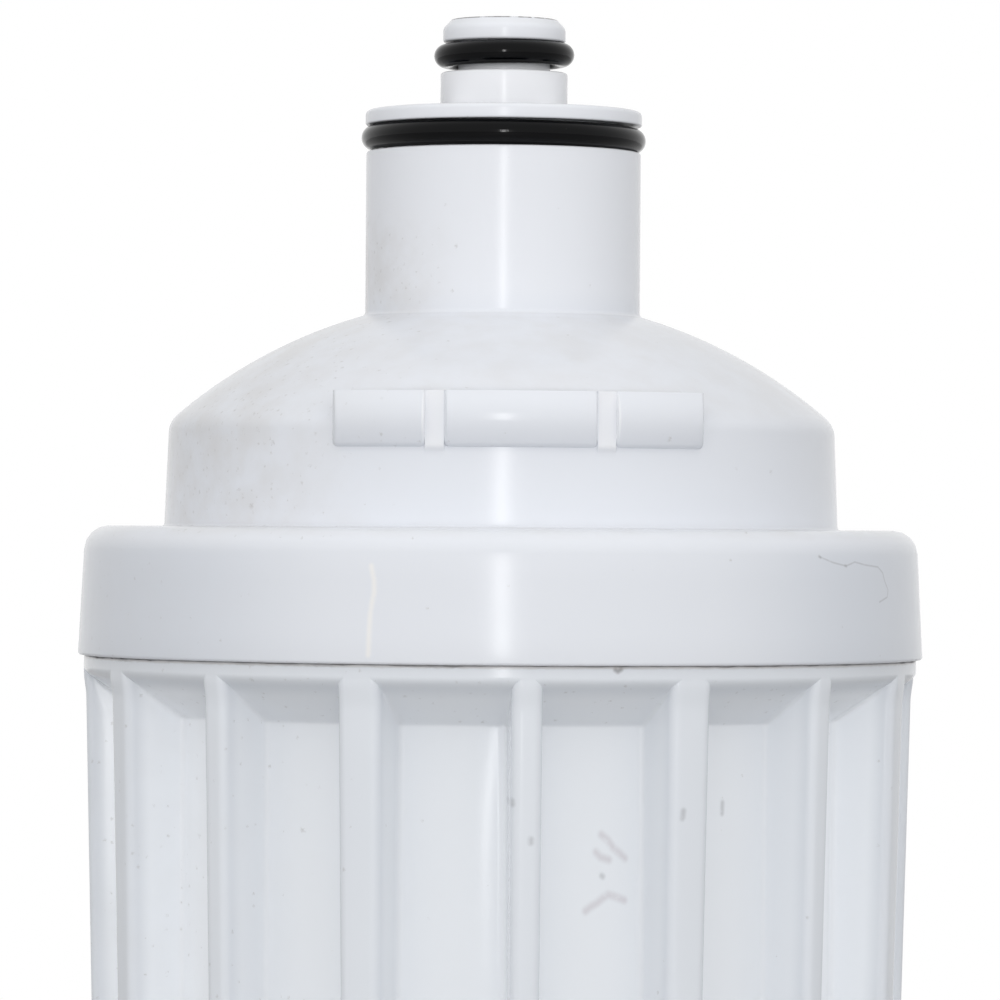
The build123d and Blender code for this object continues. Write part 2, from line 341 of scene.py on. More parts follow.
def half_sector(height, half_width):
    """Wall from the middle of a rib to the middle of the pocket beside it, as (radius, turn)."""
    floor, face = sump_wall_at(height)
    half = rib_half_at(height, half_width)
    depth = face - floor
    edge = min(rib_edge_round, 0.6 * half)
    root = max(0.05 * MM, min(rib_root_round, 0.45 * (depth - edge)))
    sweep = acos(max(0.0, 1 - max(depth - root, 0.2 * depth) / edge))
    outline = [(face, 0.0), (face, (half - edge) / 2)]
    for turn in np.linspace(0, sweep, 7):
        outline.append((face - edge + edge * cos(turn), half - edge + edge * sin(turn)))
    rim, side = outline[-1]
    drop = min(root, 0.5 * (rim - floor))
    for share in (0.3, 0.6, 0.85):
        outline.append((rim + (floor + drop - rim) * share, side))
    for turn in np.linspace(0, pi / 2, 4):
        outline.append((floor + drop - drop * sin(turn), side + root - root * cos(turn)))
    wall = [(radius, asin(side / radius)) for radius, side in outline]
    grown = min(1.0, max(0.0, (ramp_foot - height) / pillow_run))
    pillow = floor_pillow * (1 - (1 - grown) ** 2) * min(1.0, depth / (rib_radius - floor_radius))
    root_turn = wall[-1][1]
    for share in (0.1, 0.22, 0.36, 0.52, 0.68, 0.84, 1.0):
        turn = root_turn + (pi / rib_count - root_turn) * share
        wall.append((floor + pillow * (1 - (1 - share) ** 2), turn))
    return wall


def sump_ring(height):
    """One level of the ribbed wall, as points right round from the first pocket."""
    halves = [half_sector(height, half_width) for half_width in rib_half_widths]
    ring = []
    for rib in range(rib_count):
        middle = rib_clocking + rib * 2 * pi / rib_count
        half = halves[rib % 2]
        ring += [polar(radius, middle - turn, height) for radius, turn in half[:0:-1]]
        ring += [polar(radius, middle + turn, height) for radius, turn in half[:-1]]
    return ring


def turns_of(ring):
    """Angles from -Y of a ring's points."""
    return [atan2(x, -y) for x, y, _ in ring]


def sump_levels():
    """Heights of the ribbed wall's rings: close together at the round, the ramp and the flange."""
    levels = [base_round * (1 - cos(turn)) for turn in np.linspace(0.15, pi / 2, 8)]
    levels += list(np.linspace(base_round, ramp_foot - pillow_run, 22)[1:])
    levels += list(np.linspace(ramp_foot - pillow_run, ramp_foot - 0.6 * MM, 9)[1:])
    levels += [ramp_foot + step * MM for step in (-0.35, -0.2, -0.1, 0.0, 0.1, 0.2, 0.35)]
    levels += list(np.linspace(ramp_foot + 0.7 * MM, flange_base - 0.8 * MM, 7))
    levels += list(np.linspace(flange_base - 0.7 * MM, wall_top, 14))
    return levels


def seam_flash(turn):
    """Share of the open seam under the collar that weld flash fills, uneven round the part."""
    wave = sin(7 * turn + 0.6) + sin(17 * turn + 2.1) + sin(43 * turn + 4.0) + sin(97 * turn + 1.3)
    fine = sin(211 * turn + 0.4) + sin(163 * turn + 5.2)
    return min(0.97, flash_share * (1 + 0.13 * wave + 0.09 * fine))


def build_sump():
    wall = [sump_ring(height) for height in sump_levels()]
    foot_turns = turns_of(wall[0])
    flange_turns = turns_of(wall[-1])
    under = rounded([
        (recess_radius / 2, base_recess, 0),
        (recess_radius, base_recess, 0.4 * MM),
        (recess_radius, 0, 0.4 * MM),
        (foot_radius, 0, 0),
    ], steps=4)
    band = rounded([
        (flange_radius, wall_top, 0),
        (flange_radius, sump_height, flange_round),
        (flange_radius - weld_depth, sump_height, 0.05 * MM),
        (flange_radius - weld_depth - 0.05 * MM, collar_base - weld_gap, 0.05 * MM),
        (flange_radius - 2 * weld_depth, collar_base - weld_gap, 0),
    ])[1:]
    inside = rounded([
        (upstand_radius + 0.3 * MM, sump_height, 0),
        (upstand_radius, sump_height, 0.1 * MM),
        (upstand_radius, seat_height, 0.2 * MM),
        (upstand_bore, seat_height, 0.2 * MM),
        (upstand_bore, upstand_shoulder, 1.0 * MM),
        (cavity_radius, cavity_shoulder, 1.0 * MM),
        (cavity_foot_radius, base_thickness, cavity_round),
        (cavity_foot_radius / 2, base_thickness, 0),
    ], steps=3)
    rings = [[polar(radius, turn, height) for turn in foot_turns] for radius, height in under]
    rings += wall
    seam = collar_base - weld_gap - sump_height
    for radius, height in band:
        lift = min(1.0, (height - wall_top) / (sump_height - wall_top))
        room = lift * seam - max(0.0, height - sump_height)
        rings.append([
            polar(radius, turn, height + room * seam_flash(turn)) for turn in flange_turns
        ])
    rings += [[polar(radius, turn, height) for turn in flange_turns] for radius, height in inside]
    size = len(foot_turns)
    points = [point for ring in rings for point in ring]
    faces = ring_faces(len(rings), size, closed=False)
    for ring, height in ((0, base_recess), (len(rings) - 1, base_thickness)):
        faces += [
            (len(points), ring * size + place, ring * size + (place + 1) % size)
            for place in range(size)
        ]
        points.append((0, 0, height))
    return mesh_object("sump_shell", points, faces)


# Cap

dome_rise = neck_base - shoulder_top
dome_centre = (
    neck_base**2 - shoulder_top**2 + neck_radius**2 - shoulder_radius**2
) / (2 * dome_rise)
dome_sphere = hypot(neck_base - dome_centre, neck_radius)
inner_sphere = dome_sphere - cap_wall


def dome_arc(sphere, start, end, count):
    """Corners along the dome's arc from one radius to another, none of them rounded."""
    turns = np.linspace(asin(start / sphere), asin(end / sphere), count)
    return [(sphere * sin(turn), dome_centre + sphere * cos(turn), 0) for turn in turns]


def shoulder_at(height):
    """Radius of the shoulder wall, rounded over into the dome."""
    slope = (shoulder_radius - shoulder_foot_radius) / (shoulder_top - collar_top)
    wall = shoulder_foot_radius + slope * (height - collar_top)
    dome = sqrt(dome_sphere**2 - (height - dome_centre) ** 2)
    return soft_min(wall, dome, shoulder_blend)


face_shares = np.linspace(0, 1, 19)[1:]
ledge_shares = (0.0, 0.06, 0.15, 0.3, 0.55, 0.8, 0.95)
pad_steps = 4
lead_steps = 4
foot_heights = [lug_pad_low - drop * MM for drop in (0.5, 1.0, 1.8, 3.0)]


def zone_plain():
    """Shoulder from the top of the lugs' zone down to its foot, where there is no lug."""
    ledge_foot = lug_high - 1.2 * MM
    heights = list(np.linspace(lug_zone_high, lug_high, lead_steps + 1)[:-1])
    heights += [lug_high - (lug_high - ledge_foot) * (1 - share) for share in ledge_shares[::-1]]
    heights += list(ledge_foot - (ledge_foot - lug_bar_low) * face_shares)
    heights += list(np.linspace(lug_bar_low, lug_pad_low, pad_steps + 1)[1:])
    heights += foot_heights
    return [(shoulder_at(height), height) for height in heights]


def zone_lug(bar_share, strip_share, corner):
    """The same stretch across a lug: its ledge, its face raised by a bar or strip, and the wall."""
    ledge_root = shoulder_at(lug_high)
    edge = lug_pad_radius + lug_bar_step * max(bar_share, lug_strip * strip_share)
    bar_low = lug_bar_low + corner
    heights = np.linspace(lug_zone_high, lug_high, lead_steps + 1)[:-1]
    line = [(shoulder_at(height), height) for height in heights]
    line += [(edge + (ledge_root - edge) * share, lug_high) for share in ledge_shares[::-1]]
    for share in face_shares:
        bulge = lug_bar_bulge * (1 - (2 * share - 1) ** 2) * bar_share
        line.append((edge + bulge, lug_high - (lug_high - bar_low) * share))
    for height in np.linspace(bar_low, lug_pad_low, pad_steps + 1)[1:]:
        wall = shoulder_at(height)
        left = 1 - smooth((bar_low - height) / (bar_low - lug_pad_low))
        line.append((wall + (edge - wall) * strip_share * left, height))
    return line + [(shoulder_at(height), height) for height in foot_heights]


def rounded_end(inside, radius):
    """Height of a quarter circle of this radius, this far in from where it starts."""
    return sqrt(1 - (1 - min(1.0, inside / radius)) ** 2)


def bar_at(turn):
    """How far a bar stands up at this angle from its lug's middle, how far the strip between two
    bars does, and how far the bar's lower corner is rounded up there."""
    for start, end in lug_bars:
        inside = min(turn - radians(start), radians(end) - turn) * lug_pad_radius
        if inside > 0:
            corner = lug_corner_round * (1 - rounded_end(inside, lug_corner_round))
            bar = rounded_end(inside, lug_end_round)
            outer = abs(turn) > lug_half_angle - radians(2)
            return bar, 0.0 if outer else 1 - bar, corner
    return 0.0, 1.0 if abs(turn) < lug_half_angle - radians(2) else 0.0, 0.0


def cap_turns():
    """Angles of the cap's columns: even, with close ones at the ends of the bars."""
    turns = set(np.linspace(-pi, pi, cap_columns, endpoint=False).round(6))
    for middle in lug_turns:
        for start, end in lug_bars:
            for edge, inward in ((radians(start), 1), (radians(end), -1)):
                place = middle + edge
                turns = {turn for turn in turns if abs(sin((turn - place) / 2)) > radians(0.6)}
                for share in (-0.12, 0.0, 0.06, 0.2, 0.45, 0.8, 1.2, 2.0):
                    offset = inward * share * lug_end_round / lug_pad_radius
                    turns.add((place + offset + pi) % (2 * pi) - pi)
    return sorted(turns)


def cap_outline_above():
    """Outline from the outlet's mouth, over the spigot, neck and dome, down to the lugs' zone."""
    return rounded([
        (outlet_radius, tip_top - 3 * MM, 0),
        (outlet_radius, tip_top, outlet_round),
        (tip_radius - tip_chamfer, tip_top, 0.03 * MM),
        (tip_radius, tip_top - tip_chamfer, tip_round),
        (tip_radius, spigot_groove_high, land_round),
        (spigot_groove_radius, spigot_groove_high, 0.1 * MM),
        (spigot_groove_radius, spigot_groove_low, 0.1 * MM),
        (spigot_radius, spigot_groove_low, land_round),
        (spigot_radius, rim_top, 0.3 * MM),
        (rim_radius, rim_top, rim_round),
        (rim_radius, neck_groove_high, 0.2 * MM),
        (neck_groove_radius, neck_groove_high, 0.1 * MM),
        (neck_groove_radius, neck_groove_low, 0.1 * MM),
        (neck_radius, neck_groove_low, land_round),
        (neck_radius, neck_base, neck_fillet),
    ] + dome_arc(dome_sphere, neck_radius + 2 * MM, shoulder_at(lug_zone_high + 0.5 * MM), 12))


def cap_outline_below():
    """Outline from the foot of the lugs' zone, over the collar and the inside, to the outlet."""
    inner_wall = shoulder_radius - cap_wall
    return rounded([
        (shoulder_at(lug_zone_low - 0.7 * MM), lug_zone_low - 0.7 * MM, 0),
        (shoulder_foot_radius, collar_top, shoulder_root_round),
        (collar_radius, collar_top, collar_round),
        (collar_foot_radius, collar_base, collar_foot_round),
        (weld_bore, collar_base, 0.1 * MM),
        (weld_bore, seat_height, 0.2 * MM),
        (shoulder_foot_radius - cap_wall, seat_height, 0.2 * MM),
    ] + dome_arc(inner_sphere, inner_wall, neck_bore, 14) + [
        (neck_bore, roof_base, 0.3 * MM),
        (tube_radius, roof_base, 0.3 * MM),
        (tube_radius, socket_shoulder + socket_radius - tube_radius, 1.0 * MM),
        (socket_radius, socket_shoulder, 0.5 * MM),
        (socket_radius, socket_mouth, 0.3 * MM),
        (socket_bore, socket_mouth, 0.3 * MM),
        (socket_bore, socket_floor, 0.2 * MM),
        (outlet_radius, socket_floor, 0.2 * MM),
        (outlet_radius, tip_top - 4 * MM, 0),
    ], steps=4)


def lug_point(radius, turn, from_lug, height):
    """Point of a lug, which stands straight out of the wall, as the mould draws it."""
    side = min(radius, lug_pad_radius) * sin(from_lug)
    return polar(radius, turn - from_lug + asin(side / radius), height)


def build_cap():
    above = divided(cap_outline_above(), longest_step)
    below = divided(cap_outline_below(), longest_step)
    plain = zone_plain()
    columns = []
    for turn in cap_turns():
        zone = plain
        for middle in lug_turns:
            from_middle = (turn - middle + pi) % (2 * pi) - pi
            if abs(from_middle) <= lug_half_angle + 1e-6:
                from_lug = from_middle
                zone = zone_lug(*bar_at(from_middle))
        outline = [tuple(point) for point in above] + zone + [tuple(point) for point in below]
        columns.append([polar(radius, turn, height) for radius, height in outline])
        if zone is not plain:
            drawn = [lug_point(radius, turn, from_lug, height) for radius, height in zone]
            columns[-1][len(above):len(above) + len(zone)] = drawn
    points = [point for column in columns for point in column]
    faces = ring_faces(len(columns), len(columns[0]), closed=True)
    piece = mesh_object("cap_shell", points, faces)
    cut_ports(piece)
    return piece


def port_cutter():
    """Curved slots with round ends, tall enough to pass through the roof of the neck."""
    points = []
    faces = []
    outline = []
    half = port_width / 2
    for end, sign in ((port_arc / 2, 1), (-port_arc / 2, -1)):
        middle = Vector((port_radius * cos(end), port_radius * sin(end)))
        for turn in np.linspace(0, pi, 13):
            facing = end + (turn if sign > 0 else turn + pi)
            outline.append(middle + half * Vector((cos(facing), sin(facing))))
        arc = -sign * half + port_radius
        turns = np.linspace(end, -end, 14)[1:-1]
        outline += [arc * Vector((cos(turn), sin(turn))) for turn in turns]
    count = len(outline)
    for port in range(port_count):
        facing = 2 * pi * port / port_count
        first = len(points)
        for height in (roof_base - MM, rim_top + MM):
            for spot in outline:
                turned = Vector((spot.x, spot.y, height))
                turned.rotate(Quaternion((0, 0, 1), facing))
                points.append(turned)
        faces.append([first + place for place in range(count)])
        faces.append([first + count + place for place in range(count)])
        for place in range(count):
            after = (place + 1) % count
            low, low_after = first + place, first + after
            faces.append((low, low_after, low_after + count, low + count))
    return mesh_object("port_cutter", points, faces)


def cut_ports(piece):
    """Cuts the inlet ports through the roof of the neck."""
    cutter = port_cutter()
    cut = piece.modifiers.new("ports", "BOOLEAN")
    cut.operation = "DIFFERENCE"
    cut.solver = "EXACT"
    cut.object = cutter
    graph = bpy.context.evaluated_depsgraph_get()
    whole = piece.data
    piece.data = bpy.data.meshes.new_from_object(piece.evaluated_get(graph))
    piece.modifiers.remove(cut)
    piece.data.name = "cap_shell"
    bpy.data.meshes.remove(whole)
    bpy.data.objects.remove(cutter)
    shade(piece.data)


# Ring seals

def build_ring(name, node_name, section, middle, tilt):
    """Stretched ring seal of round section, out to its node's edge and a little askew."""
    low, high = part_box(node_name)
    reach = (high.x - low.x) / 2 - section
    rings = []
    for turn in np.linspace(0, 2 * pi, 144, endpoint=False):
        height = middle + reach * sin(turn) * tan(tilt)
        rings.append([
            polar(reach + section * cos(around), turn, height + section * sin(around))
            for around in np.linspace(0, 2 * pi, 32, endpoint=False)
        ])
    points = [point for ring in rings for point in ring]
    return mesh_object(name, points, ring_faces(len(rings), len(rings[0]), closed=True))


# Materials

def node(tree, kind, inputs=(), **settings):
    """Shader node with its settings and its inputs, each a value or another node's socket."""
    made = tree.nodes.new("ShaderNode" + kind)
    for key, value in settings.items():
        setattr(made, key, value)
    for key, value in dict(inputs).items():
        if isinstance(value, bpy.types.NodeSocket):
            tree.links.new(value, made.inputs[key])
        else:
            made.inputs[key].default_value = value
    return made


def calc(tree, operation, first, second=0.0, clamp=False):
    """Result of a sum on two values."""
    made = node(tree, "Math", {0: first, 1: second}, operation=operation, use_clamp=clamp)
    return made.outputs[0]


def ramp(tree, value, low, high):
    """Smooth step from 0 to 1 as the value goes from low to high."""
    made = node(
        tree, "MapRange", {"Value": value, "From Min": low, "From Max": high},
        interpolation_type="SMOOTHSTEP",
    )
    return made.outputs["Result"]


def tint(tree, share, first, second):
    """Mix of two colours by a share."""
    made = node(tree, "Mix", {"Factor": share}, data_type="RGBA")
    for socket, colour in ((made.inputs[6], first), (made.inputs[7], second)):
        if isinstance(colour, bpy.types.NodeSocket):
            tree.links.new(colour, socket)
        else:
            socket.default_value = (*colour, 1)
    return made.outputs[2]


def new_material(name):
    material = bpy.data.materials.new(name)
    material.use_nodes = True
    tree = material.node_tree
    place = node(tree, "TexCoord").outputs["Object"]
    return material, tree, tree.nodes["Principled BSDF"], place


def noise(tree, place, size, detail=3.0):
    """Noise from 0 to 1 with features of this size in metres."""
    made = node(
        tree, "TexNoise",
        {"Vector": place, "Scale": 1 / size, "Detail": detail, "Roughness": 0.55},
    )
    return made.outputs["Fac"]


def blend(tree, value, low, high):
    """Value from low to high as another goes from 0 to 1."""
    made = node(tree, "MapRange", {"Value": value, "To Min": low, "To Max": high})
    return made.outputs["Result"]


def bump(tree, height, depth):
    """Normal of a relief this deep, in metres."""
    made = node(tree, "Bump", {"Strength": 1.0, "Distance": depth, "Height": height})
    return made.outputs["Normal"]


def stroke_group():
    """Node group: how much a place lies on a short stroke between two points."""
    tree = bpy.data.node_groups.new("stroke", "ShaderNodeTree")
    face = tree.interface
    for name in ("Place", "Start", "End"):
        face.new_socket(name, in_out="INPUT", socket_type="NodeSocketVector")
    face.new_socket("Width", in_out="INPUT", socket_type="NodeSocketFloat")
    face.new_socket("Mask", in_out="OUTPUT", socket_type="NodeSocketFloat")
    given = tree.nodes.new("NodeGroupInput").outputs
    off = vector(tree, "SUBTRACT", given["Place"], given["Start"])
    run = vector(tree, "SUBTRACT", given["End"], given["Start"])
    along = calc(tree, "DIVIDE", dot(tree, off, run), dot(tree, run, run), clamp=True)
    nearest = node(tree, "VectorMath", {0: run, "Scale": along}, operation="SCALE").outputs[0]
    gap = node(tree, "VectorMath", {0: off, 1: nearest}, operation="DISTANCE").outputs["Value"]
    fade = ramp(tree, gap, given["Width"], 0.0)
    out = tree.nodes.new("NodeGroupOutput")
    tree.links.new(fade, out.inputs["Mask"])
    return tree


def vector(tree, operation, first, second):
    """Result of a vector sum."""
    return node(tree, "VectorMath", {0: first, 1: second}, operation=operation).outputs[0]


def dot(tree, first, second):
    """Dot product of two vectors."""
    made = node(tree, "VectorMath", {0: first, 1: second}, operation="DOT_PRODUCT")
    return made.outputs["Value"]


def strokes(tree, unrolled, lines, width):
    """Mask of given lines, each a run of (degrees from -Y, height in mm) points."""
    mask = None
    for line in lines:
        spots = [(radians(turn) * collar_radius, height * MM, 0) for turn, height in line]
        for start, end in zip(spots, spots[1:]):
            made = tree.nodes.new("ShaderNodeGroup")
            made.node_tree = stroke_tree
            tree.links.new(unrolled, made.inputs["Place"])
            made.inputs["Start"].default_value = start
            made.inputs["End"].default_value = end
            made.inputs["Width"].default_value = width
            mask = made.outputs[0] if mask is None else calc(tree, "MAXIMUM", mask, made.outputs[0])
    return mask


def specks(tree, place, size, spacing, density):
    """Mask of scattered ragged dots of about this size, as many as the density mask allows."""
    ragged = node(tree, "TexNoise", {"Vector": place, "Scale": 2 / size, "Detail": 1.0})
    shift = {0: ragged.outputs["Color"], "Scale": 1.5 * size}
    shift = node(tree, "VectorMath", shift, operation="SCALE").outputs[0]
    moved = vector(tree, "ADD", place, shift)
    cells = node(tree, "TexVoronoi", {"Vector": moved, "Scale": 1 / spacing})
    chance = node(tree, "SeparateColor", {0: cells.outputs["Color"]})
    there = calc(tree, "LESS_THAN", chance.outputs[0], density)
    reach = blend(tree, chance.outputs[1], 0.4 * size / spacing, size / spacing)
    return calc(tree, "MULTIPLY", ramp(tree, cells.outputs["Distance"], reach, 0.0), there)


def white_plastic(name, front_and_lit_side, painted_shade_colour, shine, roughness, marks):
    """Moulded white plastic in these front and side colours, the sump's lighter side colour being
    painted light; painted shade darkens rib faces, the cap below the neck and the collar's sides,
    and painted light lifts the lugs' gaps and the spigot: faint mottling, fine specks, a dusty film
    on the left and on the ledges, grime along the seam and the tip's edge, and marks as (lines,
    width, strength, colour)."""
    material, tree, shader, place = new_material(name)
    axes = node(tree, "SeparateXYZ", {0: place}).outputs
    across, depth, height = axes["X"], axes["Y"], axes["Z"]
    turn = calc(tree, "ARCTAN2", across, calc(tree, "MULTIPLY", depth, -1.0))
    sideways = calc(tree, "SINE", turn)
    off_front = calc(tree, "ABSOLUTE", sideways)
    arc = calc(tree, "MULTIPLY", turn, collar_radius)
    unrolled = node(tree, "CombineXYZ", {"X": arc, "Y": height}).outputs[0]
    facing = node(tree, "SeparateXYZ", {0: node(tree, "NewGeometry").outputs["Normal"]}).outputs
    cloud = noise(tree, place, 18 * MM, detail=2.0)
    patchy = noise(tree, place, 4 * MM, detail=4.0)
    fine = noise(tree, place, 0.9 * MM, detail=3.0)

    # Painted shade, mottled: darker on the sump's rib faces and the cap below the neck, not in
    # pockets or on the neck
    reach = node(tree, "VectorMath", {0: place, 1: (1, 1, 0)}, operation="MULTIPLY").outputs[0]
    reach = node(tree, "VectorMath", {0: reach}, operation="LENGTH").outputs["Value"]
    rib_face = node(tree, "MapRange", {
        "Value": height, "From Max": flange_base, "To Min": rib_foot_radius, "To Max": rib_radius
    }).outputs["Result"]
    painted_shade = ramp(tree, calc(tree, "SUBTRACT", reach, rib_face), -2.5 * MM, -0.4 * MM)
    on_cap = calc(tree, "GREATER_THAN", height, seam_height)
    low_on_cap = ramp(tree, height, neck_base + 3 * MM, neck_base)
    painted_shade = calc(tree, "MAXIMUM", painted_shade, calc(tree, "MULTIPLY", on_cap, low_on_cap))
    painted_shade = calc(tree, "MULTIPLY", painted_shade, blend(tree, cloud, 0.75, 1.15))
    # Painted light: the sump's sides take a lighter colour than its front
    colour = tint(tree, ramp(tree, off_front, 0.62, 0.82), *front_and_lit_side)
    colour = tint(tree, painted_shade, colour, painted_shade_colour)

    # Painted shade on the collar's sides; painted light in the lugs' gaps and on the spigot between
    # rim and seal
    painted_side_shade = calc(tree, "MULTIPLY", on_cap, ramp(tree, height, collar_top - MM, collar_top - 3 * MM))
    painted_side_shade = calc(tree, "MULTIPLY", painted_side_shade, ramp(tree, off_front, 0.4, 0.8))
    colour = tint(tree, calc(tree, "MULTIPLY", painted_side_shade, 0.6), colour, (0.67, 0.705, 0.765))
    from_gap = calc(tree, "ABSOLUTE", calc(tree, "SUBTRACT", off_front, sin(lug_gap)))
    gap = ramp(tree, from_gap, 0.03, 0.024)
    gap = calc(tree, "MULTIPLY", gap, ramp(tree, height, lug_pad_low, lug_bar_low))
    gap = calc(tree, "MULTIPLY", gap, ramp(tree, height, lug_high + 0.3 * MM, lug_high))
    above_rim = ramp(tree, height, rim_top, rim_top + 0.4 * MM)
    below_seal = ramp(tree, height, spigot_groove_high, spigot_groove_low)
    # Painted light: the strips between the bars and the spigot are lighter where bars, rim and seal
    # throw shade
    painted_light = calc(tree, "MAXIMUM", gap, calc(tree, "MULTIPLY", above_rim, below_seal))
    colour = tint(tree, calc(tree, "MULTIPLY", painted_light, 0.6), colour, (0.93, 0.935, 0.955))

    # Dusty film: the left of the part, and what faces up
    left = ramp(tree, sideways, -0.25, -0.95)
    left = calc(tree, "MULTIPLY", left, ramp(tree, height, neck_base + 12 * MM, neck_base + 6 * MM))
    high = ramp(tree, height, collar_top - 1.5 * MM, collar_top + MM)
    up = ramp(tree, facing["Z"], 0.45, 0.95)
    film = calc(tree, "MULTIPLY", left, blend(tree, high, 0.15, 1.0))
    ledge = ramp(tree, facing["Z"], 0.93, 0.99)
    film = calc(tree, "MAXIMUM", film, calc(tree, "MULTIPLY", up, 0.6))
    film = calc(tree, "MAXIMUM", film, calc(tree, "MULTIPLY", ledge, 0.9))
    film = calc(tree, "MULTIPLY", film, ramp(tree, patchy, 0.25, 0.75))
    colour = tint(tree, calc(tree, "MULTIPLY", film, 0.42), colour, (0.64, 0.62, 0.60))

    # Specks: a few everywhere, many on the left, on ledges and under the ramps
    crowd = calc(tree, "MULTIPLY", left, blend(tree, high, 0.22, 1.0))
    under = calc(tree, "MULTIPLY", ramp(tree, facing["Z"], -0.2, -0.6), 0.4)
    crowd = calc(tree, "MAXIMUM", crowd, under)
    crowd = calc(tree, "MAXIMUM", crowd, calc(tree, "MULTIPLY", ledge, 0.35))
    crowd = calc(tree, "MULTIPLY", crowd, ramp(tree, patchy, 0.25, 0.6))
    small = specks(tree, place, 0.28 * MM, 0.7 * MM, blend(tree, crowd, 0.008, 0.8))
    large = specks(tree, place, 0.42 * MM, 1.7 * MM, blend(tree, crowd, 0.012, 0.5))
    colour = tint(tree, calc(tree, "MULTIPLY", small, 0.34), colour, (0.36, 0.34, 0.31))
    colour = tint(tree, calc(tree, "MULTIPLY", large, 0.38), colour, (0.33, 0.31, 0.29))

    # Marks of this one
    for lines, width, strength, stain in marks:
        mask = calc(tree, "MULTIPLY", strokes(tree, unrolled, lines, width), strength)
        mask = calc(tree, "MULTIPLY", mask, ramp(tree, fine, 0.05, 0.5))
        colour = tint(tree, mask, colour, stain)

    # Grime in the seam under the collar and along the cut edge of the tip
    from_seam = calc(tree, "ABSOLUTE", calc(tree, "SUBTRACT", height, seam_height))
    fringe = blend(tree, fine, 0.06 * MM, 0.5 * MM)
    seam = ramp(tree, from_seam, fringe, 0.05 * MM)
    soil = tint(tree, ramp(tree, patchy, 0.5, 0.72), (0.52, 0.48, 0.45), (0.24, 0.21, 0.19))
    colour = tint(tree, calc(tree, "MULTIPLY", seam, 0.5), colour, soil)
    tip = ramp(tree, height, tip_top - 0.16 * MM, tip_top - 0.02 * MM)
    tip = calc(tree, "MULTIPLY", tip, ramp(tree, fine, 0.3, 0.55))
    tip_edge = tip_radius - tip_chamfer
    tip = calc(tree, "MULTIPLY", tip, ramp(tree, reach, tip_edge - 0.4 * MM, tip_edge - 0.1 * MM))
    colour = tint(tree, calc(tree, "MULTIPLY", tip, 0.9), colour, (0.05, 0.042, 0.035))
    tree.links.new(colour, shader.inputs["Base Color"])

    # Gloss: the mould's polish falls off towards the neck, and dirt is dull
    low, middle, neck = roughness
    gloss = blend(tree, ramp(tree, height, collar_top - MM, collar_top + MM), low, middle)
    rise = ramp(tree, height, shoulder_top, neck_base)
    gloss = calc(tree, "ADD", gloss, calc(tree, "MULTIPLY", rise, neck - middle))
    gloss = calc(tree, "ADD", gloss, blend(tree, patchy, -0.02, 0.02))
    gloss = calc(tree, "ADD", gloss, calc(tree, "MULTIPLY", film, 0.02), clamp=True)
    tree.links.new(gloss, shader.inputs["Roughness"])
    shader.inputs["Specular IOR Level"].default_value = shine
    tree.links.new(bump(tree, cloud, 0.06 * MM), shader.inputs["Normal"])
    return material


def black_rubber(name):
    """Greased black rubber with dusty grains that stick to it."""
    material, tree, shader, place = new_material(name)
    mottle = noise(tree, place, 2 * MM)
    colour = tint(tree, mottle, (0.0004, 0.0005, 0.0008), (0.001, 0.0012, 0.0018))
    dust = specks(tree, place, 0.12 * MM, 0.7 * MM, 0.06)
    colour = tint(tree, calc(tree, "MULTIPLY", dust, 0.12), colour, (0.35, 0.34, 0.32))
    tree.links.new(colour, shader.inputs["Base Color"])
    gloss = blend(tree, noise(tree, place, 1.5 * MM), 0.08, 0.16)
    tree.links.new(gloss, shader.inputs["Roughness"])
    shader.inputs["Specular IOR Level"].default_value = 0.15
    tree.links.new(bump(tree, noise(tree, place, 0.25 * MM), 0.006 * MM), shader.inputs["Normal"])
    return material


def satin_plastic(name, pale, light):
    """Plain moulded plastic of the inner pieces."""
    material, tree, shader, place = new_material(name)
    tree.links.new(tint(tree, noise(tree, place, 5 * MM), pale, light), shader.inputs["Base Color"])
    tree.links.new(blend(tree, noise(tree, place, 2 * MM), 0.35, 0.5), shader.inputs["Roughness"])
    tree.links.new(bump(tree, noise(tree, place, 0.6 * MM), 0.01 * MM), shader.inputs["Normal"])
    return material


def pressed_carbon(name):
    """Block of bonded carbon grains."""
    material, tree, shader, place = new_material(name)
    grains = node(tree, "TexVoronoi", {"Vector": place, "Scale": 1 / (0.5 * MM)})
    shade_of = node(tree, "SeparateColor", {0: grains.outputs["Color"]}).outputs[0]
    colour = tint(tree, shade_of, (0.010, 0.010, 0.011), (0.034, 0.034, 0.035))
    tree.links.new(colour, shader.inputs["Base Color"])
    tree.links.new(blend(tree, shade_of, 0.7, 0.95), shader.inputs["Roughness"])
    pits = calc(tree, "MULTIPLY", grains.outputs["Distance"], -1.0)
    tree.links.new(bump(tree, pits, 0.15 * MM), shader.inputs["Normal"])
    return material


def felt(name):
    """Spun white fleece, its fibres crossing at a slant."""
    material, tree, shader, place = new_material(name)
    fibres = None
    for slant in (0.6, -0.5, 0.1):
        lie = {"Vector": place, "Rotation": (slant, slant, slant), "Scale": (1, 1, 0.06)}
        laid = node(tree, "Mapping", lie)
        layer = noise(tree, laid.outputs[0], 0.18 * MM, detail=1.0)
        fibres = layer if fibres is None else calc(tree, "MAXIMUM", fibres, layer)
    colour = tint(tree, fibres, (0.62, 0.62, 0.60), (0.86, 0.86, 0.84))
    tree.links.new(colour, shader.inputs["Base Color"])
    tree.links.new(blend(tree, fibres, 0.95, 0.75), shader.inputs["Roughness"])
    tree.links.new(bump(tree, fibres, 0.12 * MM), shader.inputs["Normal"])
    return material


def dress(node_name, material):
    """Gives a carried-over node its material."""
    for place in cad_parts[node_name].material_slots:
        place.material = material


# Stage

